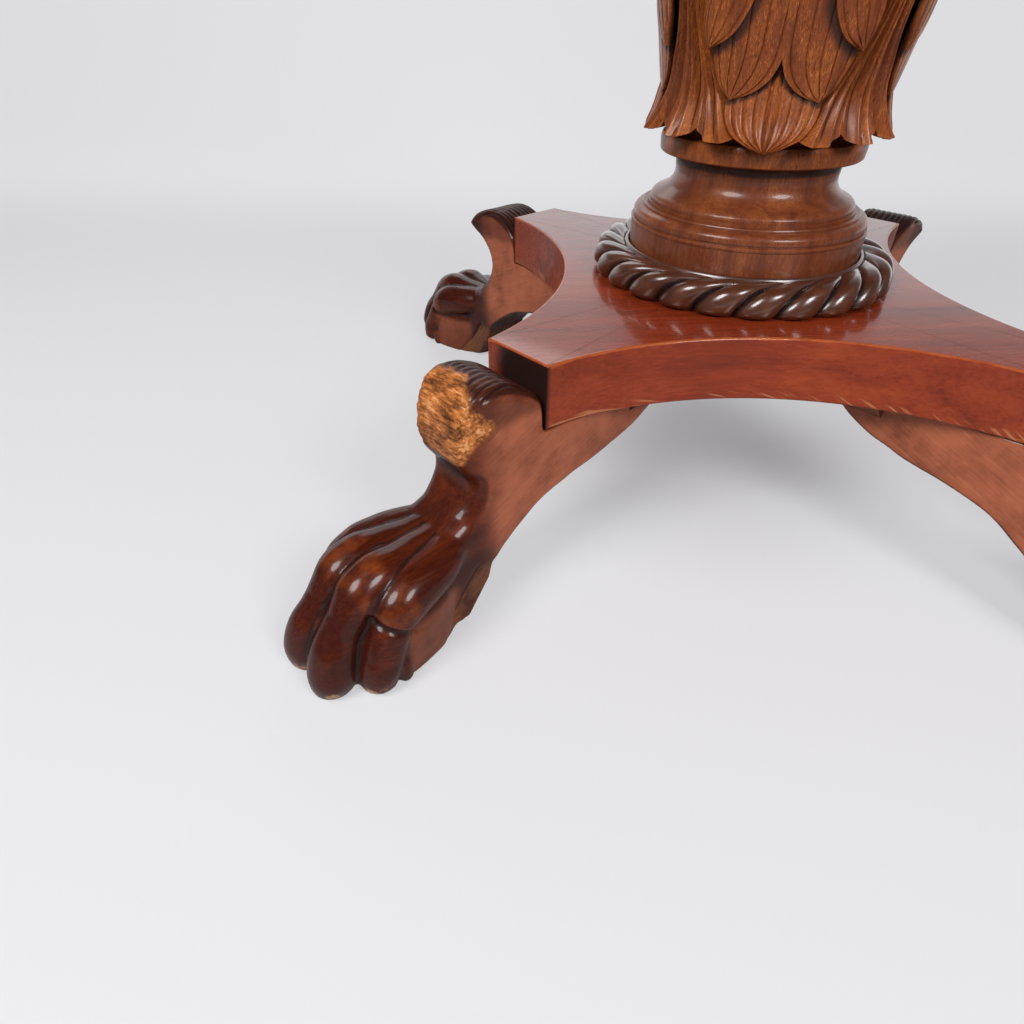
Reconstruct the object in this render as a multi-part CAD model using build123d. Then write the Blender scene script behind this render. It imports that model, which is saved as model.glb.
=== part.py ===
"""Round pedestal table: carved column on a four-cornered platform with paw-footed legs.

Millimetres, +Z up. The origin is on the floor under the middle of the column.
Legs stand on the diagonals, so the platform's hollow sides face +X, +Y, -X and -Y.
"""

import math
import os

from build123d import *

# Driving dimensions of the table
table_height = 737.0
top_diameter = 914.0
top_thickness = 22.0
platform_top = 148.0
platform_thickness = 38.0
leg_thickness = 48.0
corner_reach = 205.0  # axis to each clipped corner of the platform
hollow_reach = 119.0  # axis to the middle of each hollow side
rod_diameter = 12.0

# Heights that follow from them
platform_under = platform_top - platform_thickness
top_under = table_height - top_thickness
bearer_height = 43.0
bearer_under = top_under - bearer_height
cap_thickness = 32.0
cap_under = bearer_under - cap_thickness

# Column heights
turning_top = 214.0
shaft_top = 556.0

# Fits
slip = 0.1  # radial room of a glued tenon, dowel or screw
rod_room = 0.5
end_room = 1.0  # a tenon or dowel stops this far short of its hole's end

leg_angles = {
    "back_right": 45.0,
    "back_left": 135.0,
    "front_left": 225.0,
    "front_right": 315.0,
}
column_turn = -13.0  # the carved leaves sit a little off the platform's sides

parts_folder = "parts"


def bar(diameter, low, high):
    """A round bar on the Z axis between two heights."""
    return Pos(0, 0, low) * Cylinder(
        diameter / 2, high - low, align=(Align.CENTER, Align.CENTER, Align.MIN)
    )


def turned(outline):
    """A turning: the closed outline of edges in radius and height, spun about Z."""
    return revolve(Plane.XZ * make_face(outline), Axis.Z)


def around(shape, angles):
    """Copies of a shape turned about Z to each angle."""
    return [Rot(0, 0, angle) * shape for angle in angles]


def cut_all(shape, tools):
    for tool in tools:
        shape = shape - tool
    return shape


def write(name, *shapes):
    """One node: a single solid, or a group of separate solids."""
    shape = shapes[0] if len(shapes) == 1 else Compound(children=list(shapes))
    export_step(shape, os.path.join(parts_folder, name + ".step"))


def wood_screw(diameter, length):
    """Countersunk wood screw along +Z, tip up, with the flat of its head at z = 0."""
    radius = diameter / 2
    head = radius * 1.9
    taper = diameter * 1.2
    outline = Polyline(
        (0, 0),
        (head, 0),
        (head, 0.4),
        (radius, head - radius + 0.4),
        (radius, length - taper),
        (0.3, length),
        (0, length),
        close=True,
    )
    return turned(outline)


def screw_hole(diameter, length):
    """Room for wood_screw in the two pieces that it joins."""
    radius = diameter / 2 + slip
    head = diameter / 2 * 1.9 + slip
    outline = Polyline(
        (0, -60),
        (head, -60),
        (head, 0.4),
        (radius, head - radius + 0.4),
        (radius, length + end_room),
        (0, length + end_room),
        close=True,
    )
    return turned(outline)


# Leg to platform fixings, on a leg that runs out along +X
leg_dowel_diameter = 10.0
leg_dowel_half = 20.0
leg_dowel_spread = 22.0
leg_dowel_height = platform_under + 9.0
leg_screw_diameter = 5.5
leg_screw_reach = {132.0: 40.0, 168.0: 48.0}  # distance from the axis: length
leg_screw_bite = 24.0  # how far a screw goes up into the platform


def leg_dowels():
    shoulder = corner_reach
    dowel = Rot(0, 90, 0) * bar(leg_dowel_diameter, -leg_dowel_half, leg_dowel_half)
    return [
        Pos(shoulder, side * leg_dowel_spread / 2, leg_dowel_height) * dowel
        for side in (-1, 1)
    ]


def leg_dowel_holes():
    shoulder = corner_reach
    reach = leg_dowel_half + end_room
    hole = Rot(0, 90, 0) * bar(leg_dowel_diameter + 2 * slip, -reach, reach)
    return [
        Pos(shoulder, side * leg_dowel_spread / 2, leg_dowel_height) * hole
        for side in (-1, 1)
    ]


def leg_screws():
    return [
        Pos(reach, 0, platform_under + leg_screw_bite - length)
        * wood_screw(leg_screw_diameter, length)
        for reach, length in leg_screw_reach.items()
    ]


def leg_screw_holes():
    return [
        Pos(reach, 0, platform_under + leg_screw_bite - length)
        * screw_hole(leg_screw_diameter, length)
        for reach, length in leg_screw_reach.items()
    ]


# Leg: a sawn bracket with a rolled lip, and a four-toed paw carved below it
bracket_inner = 97.0
lip_reach = 268.0
lip_height = 132.0
neck_reach = 238.5
heel_reach = 262.0
sole_front = 350.0
toe_places = (-28.0, -12.0, 12.0, 28.0)  # sideways at the tips
toe_reaches = (344.0, 364.0, 364.0, 344.0)  # front of each tip from the axis
toe_radius = 12.0


def leg_bracket():
    seat = platform_under
    shoulder = corner_reach + slip
    roll_foot = seat + 19.0
    roll = Spline(
        (shoulder, roll_foot),
        (shoulder + 9, roll_foot + 12),
        (shoulder + 30, platform_top - 1),
        (lip_reach - 7, lip_height + 8),
        (lip_reach, lip_height),
    )
    throat = Spline(
        (lip_reach, lip_height),
        (250, 120.5),
        (neck_reach, 101),
        (246, 80),
        (262, 66),
    )
    sole = Polyline((262, 66), (300, 58), (300, 0), (heel_reach, 0), (247, 29))
    belly = Spline(
        (247, 29),
        (226, 52),
        (186, 67),
        (140, 75.5),
        (106, 90),
        (bracket_inner, seat - 4),
    )
    back = Polyline((bracket_inner, seat - 4), (bracket_inner, seat), (shoulder, seat))
    rise = Line((shoulder, seat), (shoulder, roll_foot))
    side = make_face([roll, throat, sole, belly, back, rise])
    return extrude(Plane.XZ * side, leg_thickness / 2, both=True)


def paw_toe(place, reach):
    """One toe: round sections from the ankle over a swollen knuckle and a waist to the tip."""
    knuckle_height = 53.0 - 5 * abs(place) / max(toe_places)
    spine = Spline(
        (252.0, place * 0.30, 56.0),
        (reach - 66, place * 0.60, 51.0),
        (reach - 44, place * 0.80, knuckle_height),
        (reach - 27, place * 0.92, 30.0),
        (reach - toe_radius, place, toe_radius),
    )
    shares = (0.0, 0.32, 0.52, 0.75, 1.0)
    radii = (9.0, 11.5, 14.5, 10.8, toe_radius)
    rings = [
        Plane(spine @ share, z_dir=spine % share) * Circle(radius)
        for share, radius in zip(shares, radii)
    ]
    tip = Pos(*(spine @ 1)) * Sphere(toe_radius)
    return loft(rings) + tip


def paw_sole():
    """The pad under the toes, wider in front than at the heel."""
    plan = Polyline(
        (heel_reach - 6, -leg_thickness / 2),
        (300, -33),
        (sole_front - 16, -31),
        (sole_front - 8, 0),
        (sole_front - 16, 31),
        (300, 33),
        (heel_reach - 6, leg_thickness / 2),
        close=True,
    )
    pad = extrude(make_face(plan), 34)
    slope = Plane.XZ * make_face(
        Polyline(
            (heel_reach, 0), (sole_front, 0), (sole_front - 22, 34), (247, 34), close=True
        )
    )
    return pad & extrude(slope, 60, both=True)


def plain_leg():
    leg = leg_bracket() + paw_sole()
    for place, reach in zip(toe_places, toe_reaches):
        leg = leg + paw_toe(place, reach)
    ground = Pos(sole_front - 60, 0, -50) * Box(300, 200, 100)
    leg = leg - ground
    return cut_all(leg, leg_dowel_holes() + leg_screw_holes())


# Platform: square with hollow sides and clipped corners
turning_tenon_diameter = 60.0
turning_tenon_length = 20.0


def platform_outline():
    half = leg_thickness / 2
    diagonal = math.sqrt(0.5)
    far = (corner_reach + half) * diagonal
    near = (corner_reach - half) * diagonal
    edges = []
    for quarter in range(4):
        turn = Rot(0, 0, 90 * quarter)
        hollow = ThreePointArc((far, -near), (hollow_reach, 0), (far, near))
        clip = Line((far, near), (near, far))
        edges += [turn * hollow, turn * clip]
    return make_face(edges)


def platform_solid(edge_round=1.2):
    slab = Pos(0, 0, platform_under) * extrude(platform_outline(), platform_thickness)
    rims = slab.edges().filter_by(Plane.XY)
    slab = fillet(rims, edge_round)
    tenon_hole = bar(
        turning_tenon_diameter + 2 * slip,
        platform_top - turning_tenon_length - end_room,
        platform_top + 1,
    )
    rod_hole = bar(rod_diameter + 2 * rod_room, platform_under - 1, platform_top)
    slab = slab - tenon_hole - rod_hole
    for angle in leg_angles.values():
        slab = cut_all(slab, around_one(leg_dowel_holes() + leg_screw_holes(), angle))
    return slab


def around_one(shapes, angle):
    return [Rot(0, 0, angle) * shape for shape in shapes]


def platform_blocks():
    """Two rubbed glue blocks behind each leg, in the angle under the platform."""
    inner, outer, size = 92.0, 132.0, 15.0
    corner = leg_thickness / 2 + slip
    section = Polyline(
        (corner, platform_under),
        (corner + size, platform_under),
        (corner, platform_under - size),
        close=True,
    )
    prism = Pos(inner, 0, 0) * extrude(Plane.YZ * make_face(section), outer - inner)
    pair = [prism, mirror(prism, Plane.XZ)]
    return [block for angle in leg_angles.values() for block in around_one(pair, angle)]


# Base turning: drum, ovolo and cyma drawn in to a neck
drum_radius = 75.5
drum_top = 184.0
ledge_radius = 63.0
neck_radius = 50.0
neck_tenon_diameter = 40.0
neck_tenon_length = 25.0


def base_turning():
    tenon_foot = platform_top - turning_tenon_length
    tenon = turning_tenon_diameter / 2
    spigot = neck_tenon_diameter / 2
    spigot_top = turning_top + neck_tenon_length
    bore = rod_diameter / 2 + rod_room
    outline = [
        Polyline(
            (bore, tenon_foot),
            (tenon, tenon_foot),
            (tenon, platform_top),
            (drum_radius, platform_top),
            (drum_radius, drum_top - 2),
            (drum_radius - 1.5, drum_top - 1),
            (drum_radius - 1.5, drum_top),
        ),
        ThreePointArc(
            (drum_radius - 1.5, drum_top),
            (drum_radius - 3.2, drum_top + 4.2),
            (ledge_radius + 4.5, drum_top + 5.5),
        ),
        Polyline(
            (ledge_radius + 4.5, drum_top + 5.5),
            (ledge_radius + 4.5, drum_top + 7),
            (ledge_radius + 2, drum_top + 7),
            (ledge_radius + 2, drum_top + 8.5),
            (ledge_radius, drum_top + 8.5),
        ),
        Spline(
            (ledge_radius, drum_top + 8.5),
            (ledge_radius - 0.6, drum_top + 12.5),
            (neck_radius + 5.0, drum_top + 17),
            (neck_radius, drum_top + 22),
            (neck_radius + 1, turning_top),
        ),
        Polyline(
            (neck_radius + 1, turning_top),
            (spigot, turning_top),
            (spigot, spigot_top),
            (bore, spigot_top),
            (bore, tenon_foot),
        ),
    ]
    return turned(outline)


# Gadrooned collar: a coved ring under slanting rounded lobes
lobe_count = 24
lobe_radius = 8.8
lobe_slant = -19.0  # degrees that a lobe leans, clockwise from above, as it comes down
collar_outer = 98.5
collar_height = 19.5


def gadroon_ring():
    inner = drum_radius + slip
    core = turned(
        [
            Polyline(
                (inner, platform_top),
                (collar_outer - 3, platform_top),
                (collar_outer - 3, platform_top + 3),
            ),
            ThreePointArc(
                (collar_outer - 3, platform_top + 3),
                (collar_outer - 8, platform_top + 11),
                (inner + 5, platform_top + collar_height - 3),
            ),
            Polyline(
                (inner + 5, platform_top + collar_height - 3),
                (inner + 5, platform_top + collar_height - 1.5),
                (inner + 2.5, platform_top + collar_height),
                (inner, platform_top + collar_height),
                (inner, platform_top),
            ),
        ]
    )

    def on_lobe(radius, height, share):
        angle = math.radians(lobe_slant * share)
        return (radius * math.cos(angle), radius * math.sin(angle), height)

    spine = ThreePointArc(
        on_lobe(inner + 2.5, platform_top + collar_height - 10.0, 0.0),
        on_lobe(collar_outer - 13.0, platform_top + 7.5, 0.62),
        on_lobe(collar_outer - lobe_radius, platform_top + 0.5, 1.0),
    )
    lobe = sweep(Plane(spine @ 0, z_dir=spine % 0) * Circle(lobe_radius), path=spine)
    keep = bar(2 * collar_outer + 20, platform_top, platform_top + collar_height)
    keep = keep - bar(2 * inner, platform_top - 1, platform_top + collar_height + 1)
    lobe = lobe & keep
    step = 360 / lobe_count
    return core.fuse(*[Rot(0, 0, step * i) * lobe for i in range(lobe_count)])


# Column shaft: a vase hung with leaves whose tips flare over a plain collar
leaf_tip_radius = 72.5
leaf_tip_height = 233.0
relief = 4.0  # how far the big leaves stand off the vase
leaf_root_height = 522.0
shaft_tenon_diameter = 40.0
shaft_tenon_length = 25.0


def vase_line(raise_by):
    """The vase's side from just above the flared tips to the leaf roots."""
    return [
        (61.5 + raise_by, 251.0),
        (65.5 + raise_by, 272.0),
        (72.0 + raise_by, 300.0),
        (79.0 + raise_by, 350.0),
        (81.0 + raise_by, 395.0),
        (75.0 + raise_by, 450.0),
        (61.0 + raise_by, 500.0),
        (53.0 + raise_by, leaf_root_height),
    ]


def vase_core():
    bore = rod_diameter / 2 + rod_room
    socket = neck_tenon_diameter / 2 + slip
    socket_top = turning_top + neck_tenon_length + end_room
    spigot = shaft_tenon_diameter / 2
    side = vase_line(-relief)
    outline = [
        Polyline(
            (bore, socket_top),
            (socket, socket_top),
            (socket, turning_top),
            (50.5, turning_top),
            (50.5, turning_top + 6),
        ),
        Spline((50.5, turning_top + 6), (56.5, turning_top + 8.5), (61.5, turning_top + 11.5)),
        Polyline(
            (61.5, turning_top + 11.5),
            (61.5, turning_top + 17.5),
            (58.0, turning_top + 19.5),
            (58.0, leaf_tip_height + 6),
            side[0],
        ),
        Spline(*side),
        Polyline(side[-1], (48.0, leaf_root_height + 3)),
        ThreePointArc(
            (48.0, leaf_root_height + 3),
            (58.0, leaf_root_height + 12),
            (48.0, leaf_root_height + 21),
        ),
        Polyline(
            (48.0, leaf_root_height + 21),
            (45.0, leaf_root_height + 24),
            (45.0, shaft_top),
            (spigot, shaft_top),
            (spigot, shaft_top + shaft_tenon_length),
            (bore, shaft_top + shaft_tenon_length),
            (bore, socket_top),
        ),
    ]
    return turned(outline)


def leaf_skin():
    """The raised leaf surface, as a thick shell round the vase."""
    outer = vase_line(0)
    inner = vase_line(-relief - 6)
    outline = [
        Polyline((inner[0][0], 246.0), (outer[0][0], 246.0), outer[0]),
        Spline(*outer),
        Polyline(outer[-1], inner[-1]),
        Spline(*inner[::-1]),
        Line(inner[0], (inner[0][0], 246.0)),
    ]
    return turned(outline)


def flared_skin():
    """The surface of the fans, flaring out to the tips."""
    lip = leaf_tip_radius
    low = leaf_tip_height
    outline = [
        Polyline((55.0, low + 5), (lip - 6, low + 1), (lip - 2, low), (lip, low + 1.5)),
        Spline((lip, low + 1.5), (66.0, low + 12), (62.5, 258.0), (64.0, 282.0)),
        Polyline((64.0, 282.0), (52.0, 282.0), (52.0, low + 12), (55.0, low + 5)),
    ]
    return turned(outline)


def leaf_prism(edges):
    """A leaf's outline, drawn sideways and upwards, driven through towards +X."""
    return Pos(20, 0, 0) * extrude(Plane.YZ * make_face(edges), 90)


def broad_leaf():
    """A hanging leaf with two lobes at its tip and a lobe on each side above."""
    right = [
        ThreePointArc((0, 270), (8, 259), (24, 255)),
        Spline((24, 255), (32, 262), (36, 273), (36, 283)),
        ThreePointArc((36, 283), (40, 281), (43, 277)),
        Spline((43, 277), (48, 300), (52, 350), (48, 420), (30, 490), (10, 521)),
    ]
    left = [mirror(edge, Plane.YZ) for edge in right]
    return leaf_prism(right + left + [Line((10, 521), (-10, 521))])


def under_leaf():
    """The pointed leaf that shows below the two lobes."""
    right = [
        Spline((0, 229), (10, 232), (20, 241), (25, 253)),
        Line((25, 253), (22, 276)),
    ]
    left = [mirror(edge, Plane.YZ) for edge in right]
    return leaf_prism(right + left + [Line((22, 276), (-22, 276))])


def fan_leaf(scallops=3):
    """The fan between two broad leaves, with a lower edge scooped out between its teeth."""
    half, low, top = 31.0, leaf_tip_height - 1, 282.0
    step = 2 * half / scallops
    edges = []
    for i in range(scallops):
        start = -half + step * i
        edges.append(
            ThreePointArc(
                (start, low - 1), (start + step / 2, low + 5), (start + step, low - 1)
            )
        )
    edges += [
        Spline((half, low - 1), (22, 247), (13, 262), (9, top)),
        Line((9, top), (-9, top)),
        Spline((-9, top), (-13, 262), (-22, 247), (-half, low - 1)),
    ]
    return leaf_prism(edges)


def column_shaft():
    quarters = [column_turn - 90 + 90 * i for i in range(4)]
    halfway = [angle + 45 for angle in quarters]
    broad = leaf_skin() & broad_leaf()
    fan = flared_skin() & fan_leaf()
    under = turned_under_leaf() & under_leaf()
    leaves = around(broad, quarters) + around(under, quarters) + around(fan, halfway)
    return vase_core().fuse(*leaves)


def turned_under_leaf():
    """The surface of the lower leaves: nearly upright, flaring at the tip."""
    outline = [
        Polyline((52.0, 240.0), (66.0, 228.5), (68.5, 229.5)),
        Spline((68.5, 229.5), (64.0, 240.0), (61.0, 254.0), (61.5, 276.0)),
        Polyline((61.5, 276.0), (52.0, 276.0), (52.0, 240.0)),
    ]
    return turned(outline)


# Capital turning between the shaft and the cap block
capital_tenon_diameter = 50.0
capital_tenon_length = 20.0
capital_top_radius = 86.0


def capital_turning():
    bore = rod_diameter / 2 + rod_room
    socket = shaft_tenon_diameter / 2 + slip
    socket_top = shaft_top + shaft_tenon_length + end_room
    spigot = capital_tenon_diameter / 2
    low = shaft_top
    outline = [
        Polyline(
            (bore, socket_top),
            (socket, socket_top),
            (socket, low),
            (50.0, low),
            (50.0, low + 4),
        ),
        ThreePointArc((50.0, low + 4), (57.0, low + 11), (50.0, low + 18)),
        Polyline((50.0, low + 18), (47.0, low + 21)),
        Spline(
            (47.0, low + 21),
            (49.0, low + 42),
            (61.0, low + 60),
            (capital_top_radius - 8, low + 68),
            tangents=[(0, 1), (1, 0.2)],
        ),
        Polyline(
            (capital_top_radius - 8, low + 68),
            (capital_top_radius - 8, low + 71),
        ),
        ThreePointArc(
            (capital_top_radius - 8, low + 71),
            (capital_top_radius, (low + 71 + cap_under) / 2),
            (capital_top_radius - 6, cap_under),
        ),
        Polyline(
            (capital_top_radius - 6, cap_under),
            (spigot, cap_under),
            (spigot, cap_under + capital_tenon_length),
            (bore, cap_under + capital_tenon_length),
            (bore, socket_top),
        ),
    ]
    return turned(outline)


# Cap block, bearers, apron and top
cap_side = 230.0
bearer_width = 60.0
bearer_place = 70.0  # middle of each bearer from the axis
apron_outer = 425.0
apron_wall = 22.0
apron_height = 64.0
apron_clear = 4.0  # bearer ends to the apron's wall
cap_screw = (6.0, 62.0)
top_screw = (5.0, 55.0)
cap_screw_places = [(x, y) for x in (-85.0, 85.0) for y in (-bearer_place, bearer_place)]
top_screw_places = [
    (x, y) for x in (-330.0, -180.0, 180.0, 330.0) for y in (-bearer_place, bearer_place)
]


def placed(shape, places, height):
    return [Pos(x, y, height) * shape for x, y in places]


def cap_block():
    block = Pos(0, 0, cap_under) * Box(
        cap_side, cap_side, cap_thickness, align=(Align.CENTER, Align.CENTER, Align.MIN)
    )
    low_rim = block.faces().sort_by(Axis.Z)[0].edges()
    block = chamfer(low_rim, 10)
    socket = bar(
        capital_tenon_diameter + 2 * slip,
        cap_under - 1,
        cap_under + capital_tenon_length + end_room,
    )
    rod_hole = bar(rod_diameter + 2 * rod_room, cap_under, bearer_under + 1)
    screws = placed(screw_hole(*cap_screw), cap_screw_places, cap_under)
    return cut_all(block, [socket, rod_hole] + screws)


def bearer(side):
    reach = apron_outer - apron_wall - apron_clear
    outer_edge = bearer_place + bearer_width / 2
    half_length = math.sqrt(reach**2 - outer_edge**2)
    end_height = bearer_height * 0.5
    outline = Polyline(
        (-half_length, top_under),
        (-half_length, top_under - end_height),
        (-half_length + 60, bearer_under),
        (half_length - 60, bearer_under),
        (half_length, top_under - end_height),
        (half_length, top_under),
        close=True,
    )
    beam = extrude(Plane.XZ * make_face(outline), bearer_width / 2, both=True)
    beam = Pos(0, side * bearer_place, 0) * beam
    holes = placed(screw_hole(*cap_screw), cap_screw_places, cap_under)
    holes += placed(screw_hole(*top_screw), top_screw_places, top_screw_height())
    return cut_all(beam, holes)


def top_screw_height():
    """Heads sit in deep counterbores, so that the tips stop inside the top."""
    return top_under + 14.0 - top_screw[1]


apron_dowel_diameter = 8.0
apron_dowel_half = 18.0
apron_dowel_rows = (top_under - 20.0, top_under - 44.0)


def apron_dowels(half_length, diameter):
    dowel = Rot(90, 0, 0) * bar(diameter, -half_length, half_length)
    middle = apron_outer - apron_wall / 2
    pair = [Pos(middle, 0, height) * dowel for height in apron_dowel_rows]
    return [d for i in range(4) for d in around_one(pair, 90 * i)]


def apron_segment(index):
    """A quarter of the apron, with a bead along its lower edge."""
    low = top_under - apron_height
    inner = apron_outer - apron_wall
    bead = 4.5
    outline = [
        Polyline((inner, top_under), (inner, low), (apron_outer - 2, low)),
        ThreePointArc(
            (apron_outer - 2, low),
            (apron_outer - 2 + bead, low + bead),
            (apron_outer - 2, low + 2 * bead),
        ),
        Polyline(
            (apron_outer - 2, low + 2 * bead),
            (apron_outer, low + 2 * bead + 1),
            (apron_outer, top_under),
            (inner, top_under),
        ),
    ]
    quarter = revolve(Plane.XZ * make_face(outline), Axis.Z, revolution_arc=90)
    quarter = Rot(0, 0, 90 * index) * quarter
    holes = apron_dowels(apron_dowel_half + end_room, apron_dowel_diameter + 2 * slip)
    return cut_all(quarter, holes)


def apron_blocks(count=12, size=24.0, length=55.0):
    inner = apron_outer - apron_wall
    face = math.sqrt(inner**2 - (length / 2) ** 2) - slip
    section = Polyline(
        (face, top_under), (face - size, top_under), (face, top_under - size), close=True
    )
    block = extrude(Plane.XZ * make_face(section), length / 2, both=True)
    step = 360 / count
    return around(block, [step * i for i in range(count)])


def table_top():
    """A disc with a quarter-round edge over a small hollow."""
    radius = top_diameter / 2
    mould = 11.0
    spring = table_height - 2 - mould
    corner = radius - mould + mould * math.sqrt(0.5)
    outline = [
        Polyline((0, top_under), (radius - 15, top_under), (radius - 15, top_under + 3)),
        ThreePointArc(
            (radius - 15, top_under + 3),
            (radius - 10.5, top_under + 5),
            (radius - 8, spring),
        ),
        Line((radius - 8, spring), (radius, spring)),
        ThreePointArc(
            (radius, spring),
            (corner, spring + mould * math.sqrt(0.5)),
            (radius - mould, spring + mould),
        ),
        Polyline(
            (radius - mould, spring + mould),
            (radius - mould - 2, spring + mould),
            (radius - mould - 2, table_height),
            (0, table_height),
            (0, top_under),
        ),
    ]
    disc = turned(outline)
    return cut_all(disc, placed(screw_hole(*top_screw), top_screw_places, top_screw_height()))


# Tie rod that draws the stack together, with a washer and nut at each end
washer_thickness = 3.0
nut_thickness = 10.0
nut_flats = 19.0
rod_tail = 8.0


def rod_ends():
    lower = platform_under - washer_thickness - nut_thickness - rod_tail
    upper = bearer_under + washer_thickness + nut_thickness + rod_tail
    return lower, upper


def washer(low):
    disc = bar(38.0, low, low + washer_thickness)
    return disc - bar(rod_diameter + 1, low - 1, low + washer_thickness + 1)


def nut(low):
    across_corners = nut_flats / math.sqrt(3)
    hexagon = Pos(0, 0, low) * extrude(RegularPolygon(across_corners, 6), nut_thickness)
    return hexagon - bar(rod_diameter + 2 * slip, low - 1, low + nut_thickness + 1)


def main():
    os.makedirs(parts_folder, exist_ok=True)
    leg = plain_leg()
    for name, angle in leg_angles.items():
        write("leg_" + name, Rot(0, 0, angle) * leg)
    every_leg = leg_angles.values()
    write("leg_dowels", *[d for a in every_leg for d in around_one(leg_dowels(), a)])
    write("leg_screws", *[s for a in every_leg for s in around_one(leg_screws(), a)])
    write("platform", platform_solid())
    write("platform_glue_blocks", *platform_blocks())
    write("base_turning", base_turning())
    write("gadroon_ring", gadroon_ring())
    write("column_shaft", column_shaft())
    write("capital_turning", capital_turning())
    write("cap_block", cap_block())
    write("cap_screws", *placed(wood_screw(*cap_screw), cap_screw_places, cap_under))
    write("bearer_front", bearer(-1))
    write("bearer_back", bearer(1))
    screw = wood_screw(*top_screw)
    write("top_screws", *placed(screw, top_screw_places, top_screw_height()))
    for index, side in enumerate(("back_right", "back_left", "front_left", "front_right")):
        write("apron_" + side, apron_segment(index))
    write("apron_dowels", *apron_dowels(apron_dowel_half, apron_dowel_diameter))
    write("apron_glue_blocks", *apron_blocks())
    write("table_top", table_top())
    lower, upper = rod_ends()
    write("tie_rod", bar(rod_diameter, lower, upper))
    washer_low = platform_under - washer_thickness
    write("tie_rod_washers", washer(washer_low), washer(bearer_under))
    nut_low = washer_low - nut_thickness
    write("tie_rod_nuts", nut(nut_low), nut(bearer_under + washer_thickness))


main()
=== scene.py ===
import math

import bmesh
import bpy
import numpy as np
from mathutils import Matrix


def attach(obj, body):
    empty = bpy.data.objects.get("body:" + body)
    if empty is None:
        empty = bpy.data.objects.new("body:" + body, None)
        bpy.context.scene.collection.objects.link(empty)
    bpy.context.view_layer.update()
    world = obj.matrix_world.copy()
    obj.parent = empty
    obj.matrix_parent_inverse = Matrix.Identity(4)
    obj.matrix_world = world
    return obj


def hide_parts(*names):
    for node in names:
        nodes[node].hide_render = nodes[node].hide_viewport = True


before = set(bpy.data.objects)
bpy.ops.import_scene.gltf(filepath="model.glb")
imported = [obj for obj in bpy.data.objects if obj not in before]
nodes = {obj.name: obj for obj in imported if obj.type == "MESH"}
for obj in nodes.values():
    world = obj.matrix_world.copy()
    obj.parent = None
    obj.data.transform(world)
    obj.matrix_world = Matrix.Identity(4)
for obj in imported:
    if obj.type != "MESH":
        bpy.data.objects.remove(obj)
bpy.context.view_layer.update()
mm = 0.001
legAngles = {"front_left": 225.0, "front_right": 315.0, "back_left": 135.0, "back_right": 45.0}


# curve and mesh helpers

def smoothLine(points, count):
    # Hermite curve through the points, spaced by chord length
    p = np.asarray(points, float)
    t = np.concatenate([[0], np.cumsum(np.linalg.norm(np.diff(p, axis=0), axis=1))])
    slope = np.gradient(p, t, axis=0)
    s = np.linspace(0, t[-1], count)
    i = np.clip(np.searchsorted(t, s, "right") - 1, 0, len(t) - 2)
    h = (t[i + 1] - t[i])[:, None]
    x = ((s - t[i]) / h[:, 0])[:, None]
    a, b, ma, mb = p[i], p[i + 1], slope[i] * h, slope[i + 1] * h
    return (2*x**3 - 3*x**2 + 1)*a + (x**3 - 2*x**2 + x)*ma + (3*x**2 - 2*x**3)*b + (x**3 - x**2)*mb


def ease(low, high, x):
    # 0 at low and 1 at high, smooth between them and held outside; low may be the larger
    t = np.clip((x - low) / (high - low), 0, 1)
    return t * t * (3 - 2 * t)


def gridFaces(rows, cols, closeRows=False, closeCols=False):
    # quads of a rows x cols grid of points, wrapped round where asked
    r = np.arange(rows if closeRows else rows - 1)
    c = np.arange(cols if closeCols else cols - 1)
    r, c = np.meshgrid(r, c, indexing="ij")
    r2, c2 = (r + 1) % rows, (c + 1) % cols
    quads = np.stack([r * cols + c, r * cols + c2, r2 * cols + c2, r2 * cols + c], -1)
    return quads.reshape(-1, 4)


def addPiece(name, points, faces, values=None, sharp=40, merge=True, outward=True):
    # points in mm; values are per-point numbers that the finish reads
    mesh = bpy.data.meshes.new(name)
    mesh.from_pydata((np.asarray(points).reshape(-1, 3) * mm).tolist(), [], [list(f) for f in faces])
    for key, numbers in (values or {}).items():
        layer = mesh.attributes.new(key, "FLOAT", "POINT")
        layer.data.foreach_set("value", np.asarray(numbers, np.float32).ravel())
    if merge or outward:
        work = bmesh.new()
        work.from_mesh(mesh)
        if merge:
            bmesh.ops.remove_doubles(work, verts=work.verts, dist=1e-6)
            bmesh.ops.dissolve_degenerate(work, edges=work.edges, dist=1e-7)
        if outward:
            bmesh.ops.recalc_face_normals(work, faces=work.faces)
        work.to_mesh(mesh)
        work.free()
    mesh.polygons.foreach_set("use_smooth", np.ones(len(mesh.polygons), bool))
    if sharp:
        mesh.set_sharp_from_angle(angle=math.radians(sharp))
    piece = bpy.data.objects.new(name, mesh)
    bpy.context.scene.collection.objects.link(piece)
    return piece


def fullCircle(count):
    # even angles once round, without the last, which is the first
    return np.linspace(0, 2 * np.pi, count, endpoint=False)


def spun(radius, angle, height):
    # points at a radius, an angle and a height, any of which may vary over the grid
    radius, angle, height = np.broadcast_arrays(radius, angle, height)
    return np.stack([radius * np.cos(angle), radius * np.sin(angle), height], -1)


def lathe(profile, around):
    # profile (radius, height) spun about Z: rows run along the profile, columns round it
    points = spun(profile[:, :1], fullCircle(around), profile[:, 1:])
    return points, gridFaces(len(profile), around, closeCols=True)


def closedIn(line, foot, head, count):
    # a profile carried on to the axis under and over
    inward = np.linspace(1, 0, count)
    under = np.stack([line[0, 0] * inward[::-1], np.full(count, foot)], -1)
    over = np.stack([line[-1, 0] * inward, np.full(count, head)], -1)
    return np.concatenate([under, line, over])


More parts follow.
